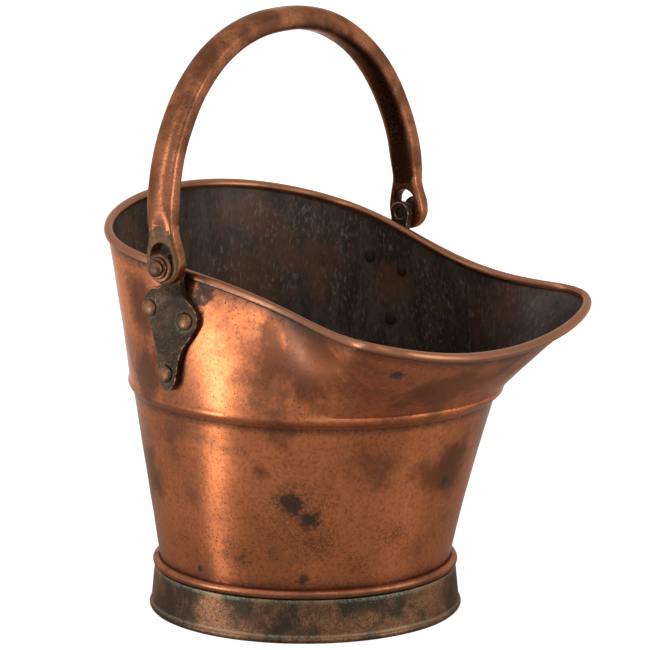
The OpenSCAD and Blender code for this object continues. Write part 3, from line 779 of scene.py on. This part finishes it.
def plate_side(side):
    """One edge of the plate up to its shoulder. The shoulders fall towards the lip."""
    return [(side * x, z - (side * SHOULDER_TILT if z > 30 else 0)) for x, z in PLATE_EDGE]


def bracket_outline():
    """The whole outline on the body's x and z, with the knuckle's circle on top."""
    bottom = (0, -12.5)
    front, back = plate_side(1), plate_side(-1)
    neck_front = [(13.2, 58.5), (12.8, 64), (13.8, 71)]
    neck_back = [(-2.8, 71), (-6.6, 65), (-11, 63.4)]
    low_front = eased([back[0], bottom] + front + neck_front + [(15.0, 77.5)], 4)
    low_back = eased([(-0.8, 77.5)] + neck_back + back[::-1] + [bottom, front[0]], 4)
    start = degrees(acos(8.2 / KNUCKLE_R))  # where the neck's sides meet the knuckle
    head = arc(PIVOT_X, PIVOT_Z, KNUCKLE_R, -start, 180 + start, 30)
    return [plate_place(*p) for p in low_front] + head + [plate_place(*p) for p in low_back]


def remeshed(bm, size, name):
    """The same shape as an even closed skin, by way of a voxel remesh."""
    lump = put_mesh(name, bm)
    change = lump.modifiers.new("voxels", "REMESH")
    change.mode = "VOXEL"
    change.voxel_size = size * MM
    seen = lump.evaluated_get(bpy.context.evaluated_depsgraph_get()).to_mesh()
    even = bmesh.new()
    even.from_mesh(seen)
    bpy.data.meshes.remove(lump.data)
    return even


def thicken(bm, faces, depth):
    """Makes flat faces solid, from where they are to depth along Y."""
    grown = bmesh.ops.extrude_face_region(bm, geom=faces)["geom"]
    bmesh.ops.translate(bm, verts=[g for g in grown if isinstance(g, bmesh.types.BMVert)],
        vec=(0, depth, 0))
    bmesh.ops.recalc_face_normals(bm, faces=bm.faces)


def flat_casting():
    bm = bmesh.new()
    hole = arc(PIVOT_X, PIVOT_Z, PIN_R + 0.1, 0, 350, 35)
    rims = [edge for loop in (bracket_outline(), hole)
        for edge in closed_line(bm, [(x, 0, z) for x, z in loop])[1]]
    bmesh.ops.triangle_fill(bm, edges=rims, use_beauty=True)
    thicken(bm, bm.faces[:], CAST_DEPTH * MM)
    bm = remeshed(bm, VOXEL, "casting")
    for _ in range(5):
        bmesh.ops.smooth_vert(bm, verts=bm.verts, factor=0.5, use_axis_x=True, use_axis_y=True,
            use_axis_z=True)
    return bm


def bent_casting(seed):
    """Left bracket, bent over the wall: depth in the casting becomes depth through the metal."""
    bm = flat_casting()
    bend_high = PIVOT_Z - KNUCKLE_R
    bend_low = bend_high - NECK_RISE
    beside_wall = {}  # the wall's depth at the corners of cells of 2 by 2 mm
    for v in bm.verts:
        x, depth, z = (c / MM for c in v.co)
        share = clamp(depth / CAST_DEPTH)
        column, row = round(x / 2), round(min(z, bend_low) / 2)
        if (column, row) not in beside_wall:
            beside_wall[column, row] = [wall_y(2 * (column + i), 2 * (row + j))
                for i in (0, 1) for j in (0, 1)]
        corner = beside_wall[column, row]
        fx, fz = x / 2 - column, min(z, bend_low) / 2 - row
        near = ((corner[0] * (1 - fz) + corner[1] * fz) * (1 - fx)
            + (corner[2] * (1 - fz) + corner[3] * fz) * fx)
        bend = rising(z, bend_low, bend_high)
        inner = (near + PLATE_INNER) * (1 - bend) + KNUCKLE_IN * bend
        outer = (near + PLATE_OUTER) * (1 - bend) + KNUCKLE_OUT * bend
        from_pivot = hypot(x - PIVOT_X, z - PIVOT_Z)
        on_knuckle = clamp((from_pivot - 5.6) / 3) * clamp((z - bend_high + 2) / 6)
        groove = 1 - GROOVE_DEPTH * on_knuckle * (1 - abs(2 * share - 1)) ** 0.5
        rough_cast = 0.16 * wobble(v.co, 0.006, seed) + 0.1 * wobble(v.co, 0.0025, seed + 5)
        y = inner + (outer - inner) * share + rough_cast * share * (0.4 if on_knuckle > 0 else 1)
        v.co = Vector((PIVOT_X + (x - PIVOT_X) * groove, y, PIVOT_Z + (z - PIVOT_Z) * groove)) * MM
    return bm


def to_side(bm, side):
    """A left piece as it is, or mirrored to the right side of the body."""
    if side < 0:
        bmesh.ops.scale(bm, vec=(1, -1, 1), verts=bm.verts)
        bmesh.ops.reverse_faces(bm, faces=bm.faces)
    return bm


for word, side in SIDES:
    bm = to_side(bent_casting(4.2 + side), side)
    measure_edges(bm)
    edge = bm.verts.layers.float["edge"]
    on_plate = [plate_place(*p) for p in RIVET_PLACES.values()]
    rivets = [Vector((x, side * (wall_y(x, z) + PLATE_OUTER + 0.3), z)) * MM for x, z in on_plate]
    # Verdigris gathers round the rivets and in every crease
    store(bm, "green", lambda v: max(0, min(1, -3 * v[edge] - 0.35),
        1 - min((v.co - p).length for p in rivets) / GREEN_REACH))
    make_piece(word + "_cast_bracket", bm, "bracket_bronze", "scuttle", word + "_bracket")

# %% [markdown]
# The rivets were hammered over by hand, so no two heads are alike. One profile is spun for
# each, and a smooth random push, with its own seed, flattens and tilts the dome.

# %% Rivets
def dome(low, r, tall, power, step):
    """Profile of a dome that stands on height low, up to a last step under its top."""
    turns = [radians(a) for a in range(0, 90, step)]
    return [(r * cos(turn) ** power, low + tall * sin(turn)) for turn in turns]


def rivet_frame(x, z):
    """Turns a piece that stands on +Z at the origin to stand out of the left wall here."""
    slope_x = (wall_y(x + 2, z) - wall_y(x - 2, z)) / 4
    slope_z = (wall_y(x, z + 2) - wall_y(x, z - 2)) / 4
    out = Vector((-slope_x, 1, -slope_z)).normalized()
    turn = Vector((0, 0, 1)).rotation_difference(out).to_matrix().to_4x4()
    return Matrix.Translation(Vector((x, wall_y(x, z), z)) * MM) @ turn


rivet_profile = ([(0.02, -3), (4.0, -3), (4.3, -2.7), (4.3, -1.5), (2.6, -1.5), (2.6, 5.4)]
    + [(6.2, 5.4)] + dome(5.75, 6.6, 2.85, 0.8, 9) + [(0.02, 8.6)])
for word, side in SIDES:
    for k, (place_word, (x, z)) in enumerate(RIVET_PLACES.items()):
        bm = spun(rivet_profile, 40)
        seed = 11 + 7 * k + side
        store(bm, "soot_and_gap_shade", lambda v: v.co.z < -1 * MM)
        for v in bm.verts:
            if v.co.z > 5.3 * MM:
                v.co.z += 0.28 * MM * wobble(v.co, 0.0045, seed)
                v.co.x += 0.25 * MM * wobble(v.co, 0.006, seed + 3)
                v.co.y += 0.25 * MM * wobble(v.co, 0.006, seed + 6)
        bm.transform(rivet_frame(*plate_place(x, z)))
        to_side(bm, side)
        measure_edges(bm, 1)
        make_piece(f"{word}_{place_word}_hammered_rivet", bm, "rivet_brass", "scuttle",
            f"{word}_{place_word}_rivet")

# %% [markdown]
# On each pivot a shouldered pin goes through the knuckle and the eye of the handle. Its end
# is hammered to a button over a collar of two rounded rings.

# %% Pins and collars
COLLAR_IN, COLLAR_OUT = 145.78, 152.18


def on_pivot(bm, side):
    """A piece spun on +Z, with Z as its distance from the middle of the body."""
    turn = Matrix.Rotation(-pi / 2, 4, "X")
    bm.transform(Matrix.Translation(Vector((PIVOT_X, 0, PIVOT_Z)) * MM) @ turn)
    return to_side(bm, side)


pin_profile = ([(0.02, 130), (3.6, 130), (PIN_R, 130.4), (PIN_R, KNUCKLE_OUT), (5, KNUCKLE_OUT),
    (5, COLLAR_IN), (PIN_R, COLLAR_IN), (PIN_R, COLLAR_OUT - 1), (4.7, COLLAR_OUT - 0.9),
    (4.9, COLLAR_OUT - 0.2)] + dome(COLLAR_OUT + 0.5, 6.3, 3.3, 0.75, 10)
    + [(0.02, COLLAR_OUT + 3.8)])
collar_profile = ([(4.05, COLLAR_IN), (9.0, COLLAR_IN)]
    + arc(9.2, COLLAR_IN + 1.65, 1.6, -84, 70, 10)
    + arc(6.8, COLLAR_IN + 4.0, 1.4, -60, 88, 10) + [(4.05, COLLAR_IN + 5.3)])
for word, side in SIDES:
    for name, profile, seed, node in (("button_pin", pin_profile, 3, "pivot_pin"),
            ("ringed_collar", collar_profile, 9, "pin_collar")):
        bm = on_pivot(spun(profile, 48), side)
        for v in bm.verts:
            if abs(v.co.y) > (COLLAR_IN + 0.4) * MM:
                v.co += Vector((1, 0, 1)) * 0.14 * MM * wobble(v.co, 0.005, seed + side)
        # Painted shade: the shank and the collar's bore, in the gap between button and collar, are
        # black
        store(bm, "soot_and_gap_shade", lambda v: abs(v.co.y) < (COLLAR_OUT + 0.2) * MM
            and hypot(v.co.x - PIVOT_X * MM, v.co.z - PIVOT_Z * MM) < 5.2 * MM)
        measure_edges(bm, 1)
        make_piece(f"{word}_{name}", bm, "rivet_brass", "scuttle", f"{word}_{node}")

# %% [markdown]
# The handle bow is sheet metal closed to a hollow bar: a bulged outer face, and straight
# sides folded over a flat inner one. It starts as a tube, one ring of points for each step
# along the arch, and every ring is then set square to the bow's line. At both ends the bulge
# dies out in an arch, the corners round off, and the skin dips into the cast eye under it, so
# that no seam shows.

# %% Handle bow
BOW_STEPS, BOW_SIDES = 160, 64
BAR_SKIRT = 22  # height over the pivots at which the skin ends
EYE_IN, EYE_OUT = 134.48, 145.48
BOW_RISE, BOW_SPAN, SQUARE = 166.6, 146.18, 2.2
BOW_HALF = 11.0  # half width, and depth of the inner half
SKIN = 0.4  # how far the skin stands out from the eye
BULGE_LOW, BULGE = 0.6, 6.4  # depth of the outer half at the eye, and what the bow adds
CORNER = 3.0
LEAN = radians(4.1)


def bow_line(a):
    """Middle of the bar at angle a of the arch, as (y, z) from the pivots."""
    return BOW_SPAN * signed_power(cos(a), 2 / SQUARE), BOW_RISE * abs(sin(a)) ** (2 / SQUARE)


def bow_point(a, k):
    """Point k of the bar's section at angle a of the arch, upright about the pivots."""
    (y0, z0), (y1, z1) = bow_line(a - 0.006), bow_line(a + 0.006)
    along = Vector((y1 - y0, z1 - z0)).normalized()
    y, z = bow_line(a)
    turn = -2 * pi * k / BOW_SIDES
    outer = sin(turn) > 0
    power = 0.9 if outer else 0.35 + 0.27 * rising(z, 36, 62)
    c, s = signed_power(cos(turn), power), signed_power(sin(turn), power)
    round_end = 1 - c * c
    over_eye = rising(z, 22.5 + 6 * round_end, 25 + 6 * round_end)
    arch = clamp((z - 27.5 - 3.5 * round_end) / 27)
    past_eye = (EYE_OUT + 0.7 - abs(y)) * (1 - rising(z, 33, 42))
    bulge = max(BULGE_LOW + BULGE * (1 - (1 - arch) ** 2.2), past_eye)
    bulge = over_eye * bulge - SKIN * (1 - over_eye)
    half = BOW_HALF + SKIN * over_eye + 0.6 * rising(z, 31, 60)
    x, out = half * c, (bulge if outer else BOW_HALF) * s
    corner = CORNER * (1 - rising(z, 30, 52))
    past_x, past_out = abs(x) - half + corner, out - bulge + corner
    if past_x > 0 and past_out > 0 and hypot(past_x, past_out) > corner:
        shrink = corner / hypot(past_x, past_out)
        x = (half - corner + past_x * shrink) * (1 if x > 0 else -1)
        out = bulge - corner + past_out * shrink
    return Vector((x, y + out * along.y, z - out * along.x))


def lean_back(co):
    """From upright about the pivots to the place where the handle stands, in metres."""
    return (Matrix.Rotation(-LEAN, 3, "Y") @ co + Vector((PIVOT_X, 0, PIVOT_Z))) * MM


def from_middle(y, z):
    """Distance from the middle of the arch, with its rise stretched to its span."""
    return hypot(y, z * BOW_SPAN / BOW_RISE)


start = 0.0
while bow_line(start)[1] < BAR_SKIRT:
    start += 0.0005
bm = bmesh.new()
turns = [2 * pi * k / BOW_SIDES for k in range(BOW_SIDES)]
ring, edges = closed_line(bm, [(cos(turn), sin(turn), 0) for turn in turns])
bm.faces.new(ring)
for _ in range(BOW_STEPS):
    grown = bmesh.ops.extrude_edge_only(bm, edges=edges)["geom"]
    edges = [g for g in grown if isinstance(g, bmesh.types.BMEdge) and len(g.link_faces) == 1]
    bmesh.ops.translate(bm, verts=list({v for e in edges for v in e.verts}), vec=(0, 0, 1))
bmesh.ops.contextual_create(bm, geom=edges)
depths = []
for v in bm.verts:
    step, k = v.co.z, round(atan2(v.co.y, v.co.x) / (2 * pi) * BOW_SIDES) % BOW_SIDES
    a = start + (pi - 2 * start) * step / BOW_STEPS
    p = bow_point(a, k)
    depths.append(from_middle(p.y, p.z) - from_middle(*bow_line(a)))
    p.z = BAR_SKIRT if step in (0, BOW_STEPS) else p.z
    v.co = lean_back(p)
    v.co += Vector((1, 1, 1)) * 0.3 * MM * wobble(v.co, 0.03, 6.6)
bmesh.ops.recalc_face_normals(bm, faces=bm.faces)
# The inner half of the bow is marked dull, and its finish paints shade there
store(bm, "dull", lambda v: 1 - rising(depths[v.index], -9, 0))
measure_edges(bm, 1)
make_piece("bow", bm, "handle_copper", "handle", "handle_bow", sharp=70)

# %% [markdown]
# The eyes are cast flat, with a tall slot that lets the handle lift on its pins. Two rings of
# points, one for the outline and one for the slot, are bridged, thickened and bevelled.

# %% Handle eyes
EYE_MID, EYE_R = 2.7, 16.0
NECK_HALF, NECK_TOP = 11.25, 25
SLOT_LOW, SLOT_TOP, SLOT_R = -5.3, 17.7, 10.25
SHOULDER = 31.5
EYE_POINTS = 96


def outline_point(a):
    """Point of the eye's outline in direction a: half a circle that narrows to a neck above."""
    dx, dz = cos(a), sin(a)
    low, high = (5.0, 40.0) if dz > 0 else (EYE_R, EYE_R)
    for _ in range(40):
        r = (low + high) / 2
        half = EYE_R - (EYE_R - NECK_HALF) * rising(r * dz, 1, NECK_TOP)
        inside = abs(r * dx) < half and r * dz < SHOULDER - EYE_MID
        low, high = (r, high) if inside else (low, r)
    return low * dx, EYE_MID + low * dz


def slot_point(a):
    """Point of the slot's border in direction a: a circle, drawn out upright."""
    middle = (SLOT_LOW + SLOT_TOP) / 2
    stretch = (SLOT_TOP - SLOT_LOW) / 2 - SLOT_R
    return cos(a) * SLOT_R, middle + sin(a) * SLOT_R + (stretch if sin(a) > 0 else -stretch)


for word, side in SIDES:
    bm = bmesh.new()
    for point in (outline_point, slot_point):
        for v in bmesh.ops.create_circle(bm, segments=EYE_POINTS, radius=1)["verts"]:
            x, z = point(atan2(v.co.y, v.co.x))
            v.co = Vector((x, EYE_OUT, z))
    thicken(bm, bmesh.ops.bridge_loops(bm, edges=bm.edges[:])["faces"], EYE_IN - EYE_OUT)
    for at_slot, width in ((False, 3.0), (True, 1.2)):
        corners = [e for e in bm.edges if len(e.link_faces) == 2 and e.calc_face_angle() > 1
            and at_slot == all(abs(v.co.x) < 11 and -8 < v.co.z < 19 for v in e.verts)]
        bmesh.ops.bevel(bm, geom=corners, offset=width, offset_type="OFFSET", affect="EDGES",
            segments=7, profile=0.5, material=-1)
    store(bm, "olive", lambda v: rising(v.co.y, EYE_OUT - 1.6, EYE_OUT - 0.3)
        * (1 - rising(v.co.z + 6 * (v.co.x / 12) ** 2, 29, 33)))
    for v in bm.verts:
        v.co = lean_back(v.co)
        v.co += Vector((1, 1, 1)) * 0.2 * MM * wobble(v.co, 0.008, 4.4)
    to_side(bm, side)
    measure_edges(bm, 1)
    make_piece(f"{word}_cast_eye", bm, "eye_brass", "handle", f"{word}_handle_eye")

# %% [markdown]
# The stage is a pale floor and a white surround. Camera rays and mirror rays see it white,
# while the light that falls on the object stays at a plain level. In a mirror the floor grows
# darker close to the scuttle, where a real one lies in its shade.

# %% Floor and surround
WHITE = (1, 1, 1, 1)


def seen_plainly(tree):
    """1 for rays that show the surround: to the camera, in a mirror or through glass."""
    path = tree.nodes.new("ShaderNodeLightPath")
    both = calc(tree, "MAXIMUM", path.outputs["Is Camera Ray"], path.outputs["Is Glossy Ray"])
    return calc(tree, "MAXIMUM", both, path.outputs["Is Transmission Ray"])


bm = bmesh.new()
bmesh.ops.create_grid(bm, x_segments=1, y_segments=1, size=6)
floor = put_mesh("floor", bm)
tree, shader, place = new_material("pale_floor")
away = add(tree, "ShaderNodeVectorMath", {0: place}, out=1, operation="LENGTH")
path = tree.nodes.new("ShaderNodeLightPath")
glow = layered(tree, between(tree, away, 0.3, 1.3, 0.85, 1.0),
    (path.outputs["Is Glossy Ray"], between(tree, away, 0.2, 1.2, 0.1, 1.0)))
feed(tree, shader, {"Base Color": (0.5, 0.5, 0.5, 1), "Roughness": 0.9, "Specular IOR Level": 0,
    "Emission Color": WHITE, "Emission Strength": times(tree, seen_plainly(tree), glow)})
floor.data.materials.append(finishes["pale_floor"])

world = bpy.data.worlds.new("surround")
world.use_nodes = True
scene.world = world
tree = world.node_tree
dim = add(tree, "ShaderNodeBackground", {"Color": WHITE, "Strength": 0.45})
white = add(tree, "ShaderNodeBackground", {"Color": WHITE, "Strength": 1.0})
mixed = add(tree, "ShaderNodeMixShader", {0: seen_plainly(tree), 1: dim, 2: white})
tree.links.new(mixed, tree.nodes["World Output"].inputs["Surface"])
print("floor and surround set")

# %% [markdown]
# Soft boxes stand at both sides, as in a product studio, with a small one near the floor for
# the upper wall, which leans out and so mirrors what lies low. Curved copper mirrors each as
# an upright band, and those bands are what makes it read as metal.

# %% Lamps
def soft_box(name, azimuth, distance, height, width, tall, watts):
    """A lamp on a circle round the object, facing its middle."""
    lamp = bpy.data.lights.new(name, "AREA")
    lamp.shape = "RECTANGLE"
    lamp.size, lamp.size_y = width, tall
    lamp.energy = watts
    box = put(name, lamp)
    a = radians(azimuth)
    box.location = Vector((sin(a) * distance, -cos(a) * distance, height))
    box.rotation_euler = (Vector((0, 0, 0.2)) - box.location).to_track_quat("-Z", "Y").to_euler()


soft_box("left_soft_box", CAMERA_AZIMUTH - 62, 1.3, 0.75, 0.22, 1.3, 3.6)
soft_box("low_soft_box", CAMERA_AZIMUTH - 64, 0.7, 0.08, 0.12, 0.14, 1.3)
soft_box("right_soft_box", CAMERA_AZIMUTH + 66, 1.4, 0.45, 0.7, 0.8, 6)
soft_box("top_soft_box", CAMERA_AZIMUTH + 10, 2.2, 2.2, 1.6, 1.6, 12)
